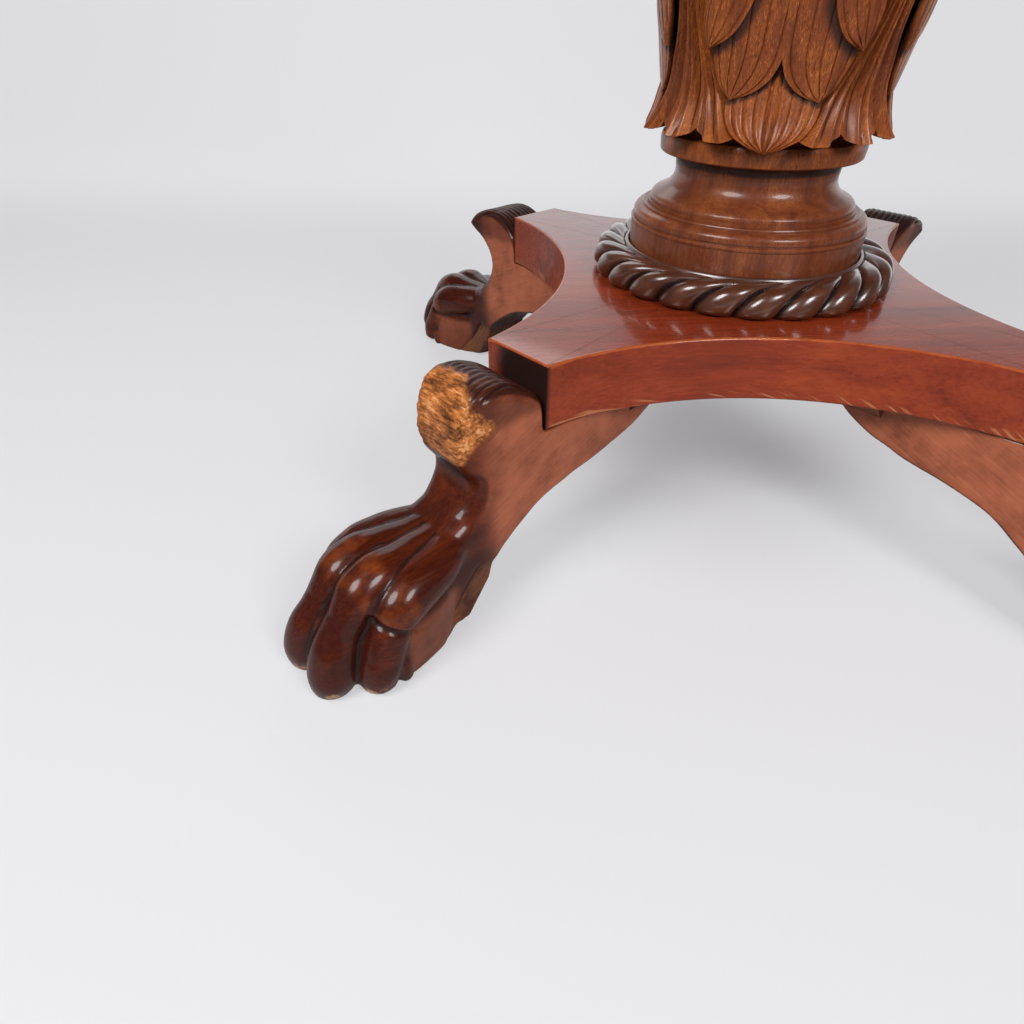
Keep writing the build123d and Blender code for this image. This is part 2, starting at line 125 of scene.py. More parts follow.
def capped(rings):
    # a stack of closed rings, with a flat face on both ends
    n, m = rings.shape[:2]
    ends = [list(range(m)), list(range((n - 1) * m, n * m))[::-1]]
    return rings.reshape(-1, 3), gridFaces(n, m, closeCols=True).tolist() + ends


def together(solids):
    # one list of points and one of faces from several solids
    points, faces, start = [], [], 0
    for p, f in solids:
        points.append(p)
        faces += [[i + start for i in face] for face in f]
        start += len(p)
    return np.concatenate(points), faces


def finishPiece(piece, finish, slotName, *cadNodes):
    # paints a piece, fixes it to the table's one body and hides the solids it stands for; its slot name is
    # not used
    piece.data.materials.clear()
    piece.data.materials.append(finish)
    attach(piece, "root")
    if cadNodes:
        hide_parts(*cadNodes)


def turnZ(points, degrees):
    # points turned about Z, counterclockwise from above
    a = math.radians(degrees)
    spin = np.array([[math.cos(a), math.sin(a), 0], [-math.sin(a), math.cos(a), 0], [0, 0, 1]])
    return np.asarray(points) @ spin


def waves(p, seed, count, low, high):
    # sum of seeded sine waves of low to high cycles per mm: a smooth random field of about -2 to 2
    rng = np.random.default_rng(seed)
    k = rng.normal(size=(count, 3))
    k *= (rng.uniform(low, high, count) / np.linalg.norm(k, axis=1))[:, None]
    phase = rng.uniform(0, 2 * np.pi, count)
    return np.sin(np.asarray(p) @ k.T * 2 * np.pi + phase).sum(-1) / math.sqrt(count)


# shader expressions

class Value:
    def __init__(self, paint, socket):
        self.paint, self.socket = paint, socket

    def maths(self, operation, *others):
        return self.paint.node("ShaderNodeMath", {"operation": operation}, [self, *others])

    def __add__(self, other):
        return self.maths("ADD", other)

    def __sub__(self, other):
        return self.maths("SUBTRACT", other)

    def __rsub__(self, other):
        return self.maths("MULTIPLY_ADD", -1.0, other)

    def __mul__(self, other):
        return self.maths("MULTIPLY", other)

    def __pow__(self, other):
        return self.maths("POWER", other)

    def span(self, low, high):
        # 0 at low and 1 at high, eased and held outside
        return self.paint.node("ShaderNodeMapRange", {"interpolation_type": "SMOOTHSTEP"},
                               {"Value": self, "From Min": low, "From Max": high})


class Paint:
    def __init__(self, name):
        self.material = bpy.data.materials.new(name)
        self.material.use_nodes = True
        self.tree = self.material.node_tree
        self.shader = self.tree.nodes["Principled BSDF"]

    def node(self, kind, settings=None, inputs=None, out=0):
        made = self.tree.nodes.new(kind)
        for key, setting in (settings or {}).items():
            if key == "stops":
                ramp = made.color_ramp
                while len(ramp.elements) < len(setting):
                    ramp.elements.new(0.5)
                for element, (place, colour) in zip(ramp.elements, setting):
                    element.position, element.color = place, (*colour, 1)
            else:
                setattr(made, key, setting)
        pairs = inputs.items() if isinstance(inputs, dict) else enumerate(inputs or [])
        for key, given in pairs:
            self.put(made.inputs[key], given)
        return Value(self, made.outputs[out])

    def put(self, socket, given):
        if isinstance(given, Value):
            self.tree.links.new(given.socket, socket)
        elif isinstance(given, (tuple, list)) and len(given) == 3 and socket.type == "RGBA":
            socket.default_value = (*given, 1)
        else:
            socket.default_value = given

    def axis(self, index):
        # one object coordinate
        return self.node("ShaderNodeSeparateXYZ", None, [self.node("ShaderNodeTexCoord", out=3)], out=index)

    def legSpot(self):
        # the leg's own axes: out along it, across it, and up
        own = [self.attribute("outAlong"), self.attribute("acrossIt"), self.axis(2)]
        return self.node("ShaderNodeCombineXYZ", None, own)

    def noise(self, scale, detail, rough, turn=(0, 0, 0), spot=None, distort=0.0):
        # waves per metre, one number or three, on object coordinates or those given, which are turned first
        spot = spot or self.node("ShaderNodeTexCoord", out=3)
        where = self.node("ShaderNodeMapping", {"vector_type": "TEXTURE"},
                          {"Vector": spot, "Scale": tuple(1.0 / np.broadcast_to(scale, 3)), "Rotation": turn})
        return self.node("ShaderNodeTexNoise", None, {
            "Vector": where, "Scale": 1.0, "Detail": detail, "Roughness": rough, "Distortion": distort})

    def ramp(self, factor, stops):
        return self.node("ShaderNodeValToRGB", {"stops": stops}, {"Fac": factor})

    def blend(self, factor, low, high):
        return self.node("ShaderNodeMix", {"data_type": "RGBA"}, {0: factor, 6: low, 7: high}, out=2)

    def attribute(self, name):
        return self.node("ShaderNodeAttribute", {"attribute_name": name}, out=2)

    def bump(self, height, distance):
        return self.node("ShaderNodeBump", None, {"Height": height, "Distance": distance, "Strength": 0.5})

    def finish(self, **sockets):
        for key, given in sockets.items():
            self.put(self.shader.inputs[key.replace("_", " ")], given)
        return self.material


grainTurns = {"x": (0.06, 1, 1), "z": (1, 1, 0.06)}  # mapping scale that stretches the figure along one axis


def mahoganyParts(paint, look):
    # figure = broad streaks + fine fibre + short dark pores, all stretched along the grain
    grain = np.array(grainTurns[look["grain"]])
    spot = paint.legSpot() if look.get("leg") else None
    turn = (0, 0, math.radians(look.get("turn", 0)))
    broad = paint.noise(grain * 70, 5, 0.6, turn, spot, 0.6)
    fibre = paint.noise(grain * 620, 3, 0.6, turn, spot)
    pores = paint.noise(grain ** 0.7 * 2100, 2, 0.5, turn, spot)
    cloud = paint.noise(9, 3, 0.5)
    tone = broad * 0.55 + fibre * 0.3 + cloud * 0.25
    colour = paint.ramp(tone, [(0.34, look["dark"]), (0.54, look["mid"]), (0.76, look["light"])])
    poreMask = (1.0 - pores.span(0.30, 0.40)) * look["pores"]
    colour = paint.blend(poreMask, colour, tuple(np.array(look["dark"]) * 0.45))
    flecks = pores.span(0.56, 0.68) * broad.span(0.35, 0.6) * look.get("flecks", 0.0)
    colour = paint.blend(flecks, colour, tuple(np.array(look["light"]) * 1.35))
    return colour, poreMask, fibre, cloud


def mahogany(name, look, wearAndShade=None):
    # varnished wood: figure, pores, thin ripples in the varnish, and rubbed places and painted shade from the
    # mesh
    paint = Paint(name)
    colour, poreMask, fibre, cloud = mahoganyParts(paint, look)
    rough = cloud * 0.16 + fibre * 0.10 + look["rough"] - 0.10
    height = fibre * 0.25 - poreMask * 0.6
    if wearAndShade:
        colour, rough, height = wearAndShade(paint, colour, rough, height)
    coat = look["coat"]
    if "topCoat" in look:
        coat = paint.axis(2).span(*look["topFrom"]) * look["topCoat"] + coat
    normal = paint.bump(height, 0.00025)
    return paint.finish(Base_Color=colour, Roughness=rough, Normal=normal, Coat_Weight=coat,
                        Coat_Roughness=look["coatRough"], Specular_IOR_Level=look["shine"])


# colours of worn and rubbed wood, and near-black colours of painted shade behind the legs and in hollows
wearAndShadeColours = {
    "arris": (0.42, 0.10, 0.022), "scrape": (0.50, 0.21, 0.09), "slotShadow": (0.008, 0.003, 0.002),
    "leaf": (0.29, 0.085, 0.020), "hollow": (0.012, 0.004, 0.003), "knuckle": (0.31, 0.064, 0.012),
    "flat": (0.50, 0.145, 0.068), "streak": (0.42, 0.19, 0.08), "tuft": (0.21, 0.080, 0.038),
    "chip": (0.45, 0.25, 0.14), "hairDark": (0.014, 0.006, 0.004),
}
tornStops = [(0.34, (0.040, 0.013, 0.005)), (0.45, (0.19, 0.060, 0.015)), (0.54, (0.52, 0.170, 0.040)),
             (0.68, (0.82, 0.48, 0.23))]


def wornArrisAndSlotShade(paint, colour, rough, height):
    # bright worn wood where the mesh says an edge is near, broken up by noise; scrapes along the lower edge,
    # painted shade on the clipped faces behind the legs, and brush marks in the varnish
    near = paint.attribute("arris")
    patch = paint.noise(55, 4, 0.65)
    specks = paint.noise(420, 2, 0.6)
    worn = (near * 0.9 + patch * 1.0 + specks * 0.25 - 1.22).span(0.0, 0.28)
    colour = paint.blend(worn * 0.6, colour, wearAndShadeColours["arris"])
    scratch = paint.noise((40, 40, 700), 2, 0.5, (0.5, 0.35, 0))
    low = paint.attribute("lowEdge")
    scraped = (low * 0.9 + patch * 0.5 - 0.8).span(0.0, 0.3) * scratch.span(0.55, 0.66)
    colour = paint.blend(scraped * 0.7, colour, wearAndShadeColours["scrape"])
    brush = paint.noise((26, 330, 330), 3, 0.5, (0, 0, 0.35))
    # painted shade: the clipped faces behind the legs turn nearly black
    dark = paint.attribute("wax")
    colour = paint.blend(dark * 0.96, colour, wearAndShadeColours["slotShadow"])
    return colour, rough + worn * 0.18 + dark * 0.5, height * 0.5 + brush * 0.9


def rubbedAndShadedCarving(paint, colour, rough, height, rubbed="leaf"):
    # paler on rubbed high spots, painted shade in the hollows, from the mesh's own depth values
    high = paint.attribute("high")
    deep = paint.attribute("deep")
    patch = paint.noise(70, 4, 0.6)
    colour = paint.blend((high * patch * 1.7).span(0.35, 0.95) * 0.6, colour, wearAndShadeColours[rubbed])
    # painted shade: dark in hollows and grooves
    colour = paint.blend((deep * 1.1).span(0.15, 0.95) * 0.85, colour, wearAndShadeColours["hollow"])
    return colour, rough + deep * 0.2 - high * 0.06, height


def rubbedAndShadedLeg(paint, colour, rough, height):
    # flat sawn sides paler and streaked, toe tips chipped, tuft rubbed bare, hair darker, a broken nose torn,
    # and painted shade in the carving's hollows
    colour, rough, height = rubbedAndShadedCarving(paint, colour, rough, height, "knuckle")
    spot, wearAndShade, tear = paint.legSpot(), wearAndShadeColours, (0.64, 0, 1.571)
    flat, tuft, tip, crown, raw = [paint.attribute(key) for key in ("flat", "tuft", "tip", "crown", "raw")]
    patch = paint.noise(45, 4, 0.6)
    sawn = paint.noise((55, 900, 900), 3, 0.6, (0, 0.42, 0), spot)
    colour = paint.blend(flat * (patch * 0.72 + sawn * 0.28).span(0.08, 0.68) * 0.85, colour, wearAndShade["flat"])
    colour = paint.blend(flat * sawn.span(0.60, 0.72) * patch.span(0.42, 0.60) * 0.7, colour, wearAndShade["streak"])
    colour = paint.blend(tuft * (patch * 0.6 + sawn * 0.4).span(0.3, 0.6) * 0.75, colour, wearAndShade["tuft"])
    chips = paint.noise(150, 3, 0.6)
    colour = paint.blend((tip * 0.6 + chips - 1.0).span(0, 0.2) * 0.8, colour, wearAndShade["chip"])
    strands = paint.noise((60, 1300, 300), 3, 0.6, spot=spot)
    # darker over the hair of the crown, most between the strands
    colour = paint.blend(crown * (strands.span(0.54, 0.40) * 0.4 + 0.2), colour, wearAndShade["hairDark"])
    shred = paint.noise((150, 620, 620), 5, 0.7, tear, spot)
    lump = paint.noise((60, 110, 110), 4, 0.6, tear, spot)
    colour = paint.blend(raw, colour, paint.ramp(shred * 0.55 + lump * 0.45, tornStops))
    rough = rough + flat * 0.12 + tuft * 0.3 + raw * 0.5 + crown * 0.25
    return colour, rough, height * (1.0 - raw) + shred * raw * 4.0 + strands * crown * 1.6


looks = {
    "platform": dict(grain="x", turn=8, dark=(0.10, 0.012, 0.004), mid=(0.225, 0.029, 0.008),
                     light=(0.34, 0.055, 0.014), rough=0.24, coat=0.22, topCoat=0.5,
                     topFrom=(0.1465, 0.1478), coatRough=0.08, pores=0.35, shine=0.17),
    "turning": dict(grain="z", dark=(0.060, 0.013, 0.006), mid=(0.150, 0.036, 0.013),
                    light=(0.26, 0.078, 0.022), rough=0.30, coat=0.25, coatRough=0.12, pores=0.55,
                    flecks=0.6, shine=0.22),
    "carving": dict(grain="z", dark=(0.080, 0.018, 0.005), mid=(0.200, 0.046, 0.010),
                    light=(0.36, 0.105, 0.020), rough=0.36, coat=0.18, coatRough=0.18, pores=0.75,
                    flecks=0.9, shine=0.18),
    "collar": dict(grain="x", dark=(0.030, 0.009, 0.005), mid=(0.066, 0.019, 0.009),
                   light=(0.125, 0.037, 0.014), rough=0.30, coat=1.0, coatRough=0.19, pores=0.3, shine=0.35),
    "leg": dict(grain="x", leg=True, dark=(0.024, 0.004, 0.003), mid=(0.050, 0.0075, 0.003),
                light=(0.13, 0.022, 0.006), rough=0.27, coat=0.25, coatRough=0.09, pores=0.3, shine=0.14),
    "top": dict(grain="x", dark=(0.090, 0.016, 0.008), mid=(0.19, 0.036, 0.014), light=(0.30, 0.070, 0.024),
                rough=0.26, coat=0.5, coatRough=0.10, pores=0.45, shine=0.4),
    "beech": dict(grain="x", dark=(0.30, 0.17, 0.08), mid=(0.46, 0.29, 0.15), light=(0.58, 0.40, 0.23),
                  pores=0.25),
}
finishes = {
    "platform": mahogany("platformVarnish", looks["platform"], wornArrisAndSlotShade),
    "turning": mahogany("turnedVarnish", looks["turning"]),
    "carving": mahogany("carvedLeafVarnish", looks["carving"], rubbedAndShadedCarving),
    "collar": mahogany("gadroonVarnish", looks["collar"], rubbedAndShadedCarving),
    "leg": mahogany("pawLegVarnish", looks["leg"], rubbedAndShadedLeg),
    "top": mahogany("tableTopVarnish", looks["top"]),
}
print("finishes made")


# platform

platformSize = {
    "top": 148.0, "under": 110.0, "corner": 205.0, "half": 24.0, "hollow": 119.0, "round": 1.2,
    "wall": (112, 113.5, 116, 120, 126, 132, 138, 141, 142.6, 143.2, 143.8, 144.4, 145.2, 146),
    "drawnIn": (0.994, 0.985, 0.97, 0.95, 0.91, 0.85, 0.77, 0.67, 0.55, 0.42, 0.28, 0.14, 0.0),
    "slotShadeFrom": -21.0, "slotShadeTo": -9.0,
}


def platformPlan(samples=96, clipSamples=46):
    # one hollow side is a circular arc through the clip ends and the middle; four of them with straight clips
    size = platformSize
    far = (size["corner"] + size["half"]) * math.sqrt(0.5)
    near = (size["corner"] - size["half"]) * math.sqrt(0.5)
    run = far - size["hollow"]
    radius = (run ** 2 + near ** 2) / (2 * run)
    centre = size["hollow"] + radius
    sweep = math.asin(near / radius)
    b = np.linspace(-sweep, sweep, samples)
    arc = np.stack([centre - radius * np.cos(b), radius * np.sin(b), 0 * b], -1)
    arcOut = np.stack([np.cos(b), -np.sin(b), 0 * b], -1)
    s = np.linspace(0, 1, clipSamples + 2)[1:-1, None]
    clip = (1 - s) * np.array([far, near, 0]) + s * np.array([near, far, 0])
    clipOut = np.tile([math.sqrt(0.5), math.sqrt(0.5), 0], (clipSamples, 1))
    side, out = np.concatenate([arc, clip]), np.concatenate([arcOut, clipOut])
    return (np.concatenate([turnZ(side, 90 * i) for i in range(4)]),
            np.concatenate([turnZ(out, 90 * i) for i in range(4)]))


def makePlatform():
    # the plan carried up a profile of (inset, height), then drawn in to the middle over and under
    size = platformSize
    plan, out = platformPlan()
    q = np.linspace(0, np.pi / 2, 5)
    low = np.stack([size["round"] * (1 - np.sin(q)), size["under"] + size["round"] * (1 - np.cos(q))], -1)
    high = np.stack([size["round"] * (1 - np.cos(q)), size["top"] - size["round"] * (1 - np.sin(q))], -1)
    rim = np.concatenate([low, [(0, height) for height in size["wall"]], high])
    points = plan[None] - out[None] * rim[:, 0][:, None, None]
    points[..., 2] = rim[:, 1][:, None]
    steps = np.array(size["drawnIn"])[:, None, None]
    flat = np.array([1, 1, 0])
    over = points[-1] * flat * steps + np.array([0, 0, size["top"]])
    under = points[0] * flat * steps[::-1] + np.array([0, 0, size["under"]])
    # painted shade on the clipped faces behind the legs, less at one end
    wax = np.zeros(points.shape[:2])
    for angle in legAngles.values():
        own = turnZ(points, -angle)  # with this leg along X
        wax += (own[..., 0] > size["corner"] - 0.4) * ease(size["slotShadeFrom"], size["slotShadeTo"], own[..., 1])
    wax *= points[..., 2] < size["top"] - 1.0
    wax = np.concatenate([np.zeros(under.shape[:2]), wax, np.zeros(over.shape[:2])])
    grid = np.concatenate([under, points, over])
    fromTop, fromUnder = size["top"] - grid[..., 2], grid[..., 2] - size["under"]
    # roughly how far in from the edge each row lies
    inPlan = np.concatenate([np.full(len(under), 9.0), 0 * rim[:, 0], (1 - steps[:, 0, 0]) * 160])[:, None]
    arris = np.exp(-(np.hypot(fromTop, inPlan) / 1.9) ** 2)
    arris = arris + 0.4 * np.exp(-(np.hypot(fromUnder, inPlan) / 2.0) ** 2)
    fromEnd = np.abs(np.abs(plan[:, 0]) - np.abs(plan[:, 1]))[None] - 2 * size["half"] * math.sqrt(0.5)
    arris = arris + np.exp(-(fromEnd / 3.0) ** 2) * (inPlan < 0.5) * 0.6
    lowEdge = np.exp(-(fromUnder / 9.0) ** 2) * (inPlan < 0.5)
    piece = addPiece("platformBoard", grid, gridFaces(*grid.shape[:2], closeCols=True),
                     {"arris": arris * (1 - wax), "lowEdge": lowEdge, "wax": wax})
    finishPiece(piece, finishes["platform"], "polished_mahogany", "platform")


makePlatform()
print("platform made")


# turned pieces

turnedShapes = {  # runs of (radius, height): each is an eased curve, and the corners between them stay sharp
    "base": [[(75.5, 148), (75.5, 150.4)], [(75.0, 150.8), (75.0, 180.4)],
             [(75.4, 180.8), (75.5, 182.0), (74.8, 182.8)],
             [(73.6, 183.0), (73.6, 184.0)], [(74.2, 184.2), (74.0, 187.0), (72.2, 189.2), (69.6, 190.0)],
             [(68.6, 190.2), (68.6, 191.4), (65.4, 191.6)], [(65.4, 192.8), (64.0, 193.0)],
             [(64.0, 193.4), (64.2, 195.4), (62.6, 197.6), (58.6, 199.6), (54.2, 202.2), (51.2, 206.2),
              (50.2, 210.0), (50.4, 213.9)]],
    "capital": [[(50, 556), (50, 560)], [(50, 560), (55, 562.5), (57, 567), (55, 571.5), (50, 574)],
                [(47, 577), (48, 592), (54, 608), (65, 619), (78, 623.8)],
                [(78, 624), (78, 627)], [(78, 627), (84, 629), (86, 633.5), (84, 638), (80, 639.9)]],
    "top": [[(442, 715), (442, 718)], [(442, 718), (446.5, 720), (449, 724)], [(449, 724), (457, 724)],
            [(457, 724), (455.6, 729.5), (451.5, 733.6), (446, 735)],
            [(446, 735), (444.4, 735), (444, 736.4), (443.4, 736.95)]],
}


def turnedProfile(runs, foot, head, step=0.7):
    # each run is sampled along its length, then closed to the axis under and over
    parts = []
    for run in runs:
        length = np.linalg.norm(np.diff(np.array(run), axis=0), axis=1).sum()
        parts.append(smoothLine(run, max(2, int(length / step))))
    return closedIn(np.concatenate(parts), foot, head, 9)


for key, foot, head, around, finish, node in [
        ("base", 148, 213.95, 240, "turning", "base_turning"),
        ("capital", 556.05, 639.95, 200, "turning", "capital_turning"),
        ("top", 715, 737, 360, "top", "table_top")]:
    points, faces = lathe(turnedProfile(turnedShapes[key], foot, head), around)
    piece = addPiece(key + "Turning", points, faces, sharp=28)
    finishPiece(piece, finishes[finish], "polished_mahogany", node)
print("turnings made")


# gadrooned collar

collarShape = {
    "lobes": 24, "slant": 20.0, "comma": 1.8, "start": 7.4, "inner": 75.6, "outer": 98.6, "foot": 148.0,
    "height": 19.0, "turnIn": 115.0, "cove": 3.4, "lift": 8.2, "raise": 0.6, "drop": 3.4, "tuck": 9.0,
    "bead": [(0, 165.0), (0.1, 166.7), (1.2, 167.3), (2.2, 166.4), (3.0, 164.6)],
}


def makeCollar(perLobe=36, rows=44):
    # round profile, drawn in again at its foot, whose surface swells by a half-circle across each lobe;
    # lobes lean over fast near the top and less as they come down, so each is a comma
    s = collarShape
    t = np.linspace(0, 1, rows)[:, None]
    a = fullCircle(s["lobes"] * perLobe)[None]
    lean = np.radians(s["slant"]) * (1 - (1 - t) ** s["comma"])
    phase = (a + lean) * s["lobes"] / (2 * np.pi) + s["start"] / (360 / s["lobes"])
    across = 2 * (phase - np.floor(phase)) - 1
    lobe = np.sqrt(np.clip(1 - np.abs(across) ** 2.2, 0, 1))
    swell = (0.25 + 0.75 * ease(0.0, 0.55, t)) * (1 - 0.55 * ease(0.82, 1.0, t))
    bend = np.radians(s["turnIn"]) * t
    fall = (np.cos(bend) - np.cos(bend[-1])) / (1 - np.cos(bend[-1]))
    r = s["inner"] + s["cove"] + (s["outer"] - s["inner"] - s["cove"] - s["lift"]) * np.sin(bend) ** 0.9
    z = s["foot"] + s["raise"] + (s["height"] - s["drop"]) * fall ** 0.9
    lift = s["lift"] * swell * lobe
    r, z = r + lift * (np.sin(bend) * 0.92 + 0.08), np.clip(z + lift * np.cos(bend), s["foot"], None)
    bead = smoothLine([(s["inner"] + out, height) for out, height in s["bead"]], 10)
    grid = np.concatenate([spun(bead[:, :1], a, bead[:, 1:]), spun(r, a, z),
                           spun(s["outer"] - s["tuck"], a, s["foot"]), spun(s["inner"], a, s["foot"])])
    # painted shade: dark in the grooves between lobes and towards the foot, and the rows under the foot fully
    # dark
    dark = ease(0.62, 1.0, np.abs(across)) * (0.35 + 0.65 * swell)
    dark = np.maximum(dark, 0.8 * ease(0.88, 1.0, t))
    rubbed = ease(0.75, 1.0, lobe) * swell * 0.5
    plain, under = np.zeros((len(bead), a.size)), np.ones((2, a.size))
    values = {"deep": np.concatenate([plain, dark, under]),
              "high": np.concatenate([plain, rubbed, 0 * under])}
    faces = gridFaces(*grid.shape[:2], closeRows=True, closeCols=True)
    piece = addPiece("gadroonCollar", grid, faces, values, sharp=60)
    finishPiece(piece, finishes["collar"], "carved_mahogany", "gadroon_ring")


makeCollar()
print("collar made")


# legs

legShape = {
    "thick": 48.0, "voxel": 1.1, "edgeDepth": 4.0, "sink": 10.0,
    "roll": [(205.3, 110), (205.3, 122), (206.5, 128), (213, 135.5), (223, 142), (236, 146.2), (250, 145.2),
             (262, 139.5), (268.5, 131.5)],
    "throat": [(268.5, 131.5), (260, 126), (249, 119.5), (242, 110.5), (240, 100), (244.5, 90),
               (252.5, 80.5), (262, 72.5)],
    "heel": [(262, 72.5), (296, 56), (296, 3), (277, 0), (262, 1.5), (245.5, 23.5), (242.5, 34.5)],
    "belly": [(242.5, 34.5), (233, 44), (217.5, 55), (206, 61.5), (186, 67.5), (148, 75.5), (118, 86),
              (103, 97), (97, 110)],
    "edges": {"roll": (2.0, 5.0, 7.0, 8.0, 6.0, 2.0), "throat": (2.0, 3.0, 6.0, 11.0, 14.0),
              "heel": (14.0, 10.0, 2.0, 2.0, 2.0, 2.0, 2.0), "belly": (2.0, 2.0)},
}
noseShape = {  # the broken scroll end is a blunt bulb
    "roll": [(205.3, 110), (205.3, 122), (206.5, 128), (213, 135.5), (223, 142), (236, 146.2), (248, 145.6),
             (257, 139.5), (261.5, 129)],
    "throat": [(261.5, 129), (262, 115), (258.5, 103.5), (254, 97), (251, 92.5), (251.5, 87), (255.5, 79.5),
               (262, 72.5)],
    "rawFrom": 239.5, "rawSlope": 0.95, "narrow": 0.24,
}
pawShape = {  # control rows (distance out, across, height, radius), mirrored for the other side of the paw
    "inner": [(252, 2.6, 61, 3), (262, 4.2, 59.5, 8.0), (280, 6.4, 57.5, 10.2), (298, 8.2, 57.0, 12.0),
              (313, 9.6, 56.0, 14.2), (322, 10.2, 52.0, 14.4), (331, 10.6, 44.0, 12.0),
              (338.5, 11.0, 35.5, 11.2), (344.5, 12.2, 25.0, 13.2), (347.5, 13.0, 15.5, 14.2),
              (349.0, 13.2, 10.0, 13.8), (349.8, 13.2, 5.5, 12.4), (350, 13.2, 1.5, 10.8)],
    "outer": [(250, 6.0, 59, 4), (258, 10.0, 56.5, 9), (270, 14.5, 54.5, 12.2), (280, 18.5, 53.0, 13.4),
              (290, 21.3, 51.5, 14.2), (303, 23.2, 48.5, 15.0), (310, 24.2, 44.5, 14.8),
              (316, 25.2, 36.0, 12.8), (321, 26.2, 28.0, 12.2), (325.5, 27.2, 19.0, 12.4),
              (328.5, 28.0, 12.8, 12.4), (329.8, 28.2, 8.0, 11.4), (330.4, 28.2, 2.5, 10.0)],
    "web": [(296, 16.5, 46, 8), (312, 17.5, 42, 10), (322, 18.5, 33, 9.0), (330, 19.5, 23, 9.0),
            (335, 20.5, 13, 8.5), (337, 20.5, 5, 7)],
    "mid": [(290, 0, 54, 8), (315, 0, 51, 9), (330, 0, 42, 9), (340, 0, 31, 9), (346, 0, 19, 9),
            (349, 0, 8, 8)],
    "palm": [(263, 10, 24), (267, 20, 36), (274, 24.5, 43), (284, 30, 45), (295, 33, 44), (306, 35, 39),
             (317, 34.5, 31), (325, 30, 25), (337, 21, 18), (344, 13, 12)],
    "claw": ((317.0, 35.0, 7.5), (5.2, 3.6, 8.6)),
}


def legSide(nose):
    # closed outline of the sawn bracket in (distance out, height), with how far its edge is rounded
    s = dict(legShape, **noseShape) if nose else legShape
    lines, edges = [], []
    for key, count in (("roll", 44), ("throat", 44), ("heel", 0), ("belly", 60)):
        line = smoothLine(s[key], count) if count else np.array(s[key], float)
        lines.append(line[:-1])
        given = s["edges"][key]
        edges.append(np.interp(np.linspace(0, len(given) - 1, len(line)), range(len(given)), given)[:-1])
    lines.append(line[-1:])
    edges.append(np.array(given[-1:]))
    return np.concatenate(lines), np.concatenate(edges)


def slab(line, edges, half, depth):
    # the outline carried across the thickness, drawn in over a quarter round near both faces
    q = np.linspace(np.pi / 2, 0, 7)
    depth = np.maximum(edges, depth)
    deep = np.outer(1 - np.sin(q), depth)
    offsets = np.concatenate([deep - half, half - deep[::-1]])
    insets = np.concatenate([1 - np.cos(q), 1 - np.cos(q[::-1])])
    ahead, behind = np.roll(line, -1, 0), np.roll(line, 1, 0)
    run = ahead - behind
    out = np.stack([run[:, 1], -run[:, 0]], -1)
    out /= np.linalg.norm(out, axis=1)[:, None] + 1e-9
    area = np.sum(line[:, 0] * ahead[:, 1] - ahead[:, 0] * line[:, 1])
    out *= np.sign(area)
    ring = line[None] - out[None] * (insets[:, None] * edges[None])[..., None]
    points = np.stack([ring[..., 0], offsets, ring[..., 1]], -1)
    return capped(points)


def limb(rows, sign):
    # rings carried along a spine through control rows, square to it, swelling and narrowing by their radii
    path = smoothLine(rows, 70)
    spine = path[:, :3] * np.array([1, sign, 1])
    along = np.gradient(spine, axis=0)
    along /= np.linalg.norm(along, axis=1)[:, None]
    side = np.cross(along, np.array([0.0, 1.0, 0.0]))
    side /= np.linalg.norm(side, axis=1)[:, None]
    other = np.cross(along, side)
    a = fullCircle(30)[None, :, None]
    ring = side[:, None] * np.cos(a) + other[:, None] * np.sin(a)
    return capped(spine[:, None] + path[:, 3:, None] * ring)


def palm():
    # rounded-square sections from heel to toes, carried below the floor and cut off there later
    path, sink = smoothLine(pawShape["palm"], 40), legShape["sink"]
    a = fullCircle(48)
    c, d = np.cos(a), np.sin(a)
    box = (np.abs(c) ** 4 + np.abs(d) ** 4) ** (-1 / 4)
    tall = (path[:, 2:] + sink) * (0.5 + 0.5 * box * d) - sink
    return capped(np.stack([path[:, :1] + 0 * a, path[:, 1:2] * box * c, tall], -1))


def ball(middle, size, rows=20, cols=28):
    # a sphere stretched to three half sizes and moved to its middle
    u = np.linspace(0, np.pi, rows)[:, None]
    points = spun(np.sin(u), fullCircle(cols), np.cos(u)) * np.array(size) + np.array(middle)
    return points.reshape(-1, 3), gridFaces(rows, cols, closeCols=True).tolist()


def carvedLeg(nose):
    # slab, palm, toes, webs and claws are fused by a voxel remesh and smoothed
    s = legShape
    solids = [slab(*legSide(nose), s["thick"] / 2, s["edgeDepth"]), palm()]
    solids.append(limb(pawShape["mid"], 1))
    for sign in (-1, 1):
        solids += [limb(pawShape[key], sign) for key in ("inner", "outer", "web")]
        middle, size = pawShape["claw"]
        solids.append(ball(np.array(middle) * np.array([1, sign, 1]), size))
    rough = addPiece("legBlank", *together(solids), sharp=0, merge=False)
    remesh = rough.modifiers.new("fuse", "REMESH")
    remesh.mode, remesh.voxel_size = "VOXEL", s["voxel"] * mm
    soften = rough.modifiers.new("soften", "SMOOTH")
    soften.factor, soften.iterations = 0.5, 5
    ready = rough.evaluated_get(bpy.context.evaluated_depsgraph_get())
    mesh = bpy.data.meshes.new_from_object(ready)
    count = len(mesh.vertices)
    p, n = np.zeros(count * 3, np.float32), np.zeros(count * 3, np.float32)
    mesh.vertices.foreach_get("co", p)
    mesh.vertex_normals.foreach_get("vector", n)
    quads = np.zeros(len(mesh.loops), np.int32)
    mesh.loops.foreach_get("vertex_index", quads)
    bpy.data.objects.remove(rough)
    p, n = p.reshape(-1, 3).astype(float) / mm, n.reshape(-1, 3).astype(float)
    return p, n, quads.reshape(-1, 4)


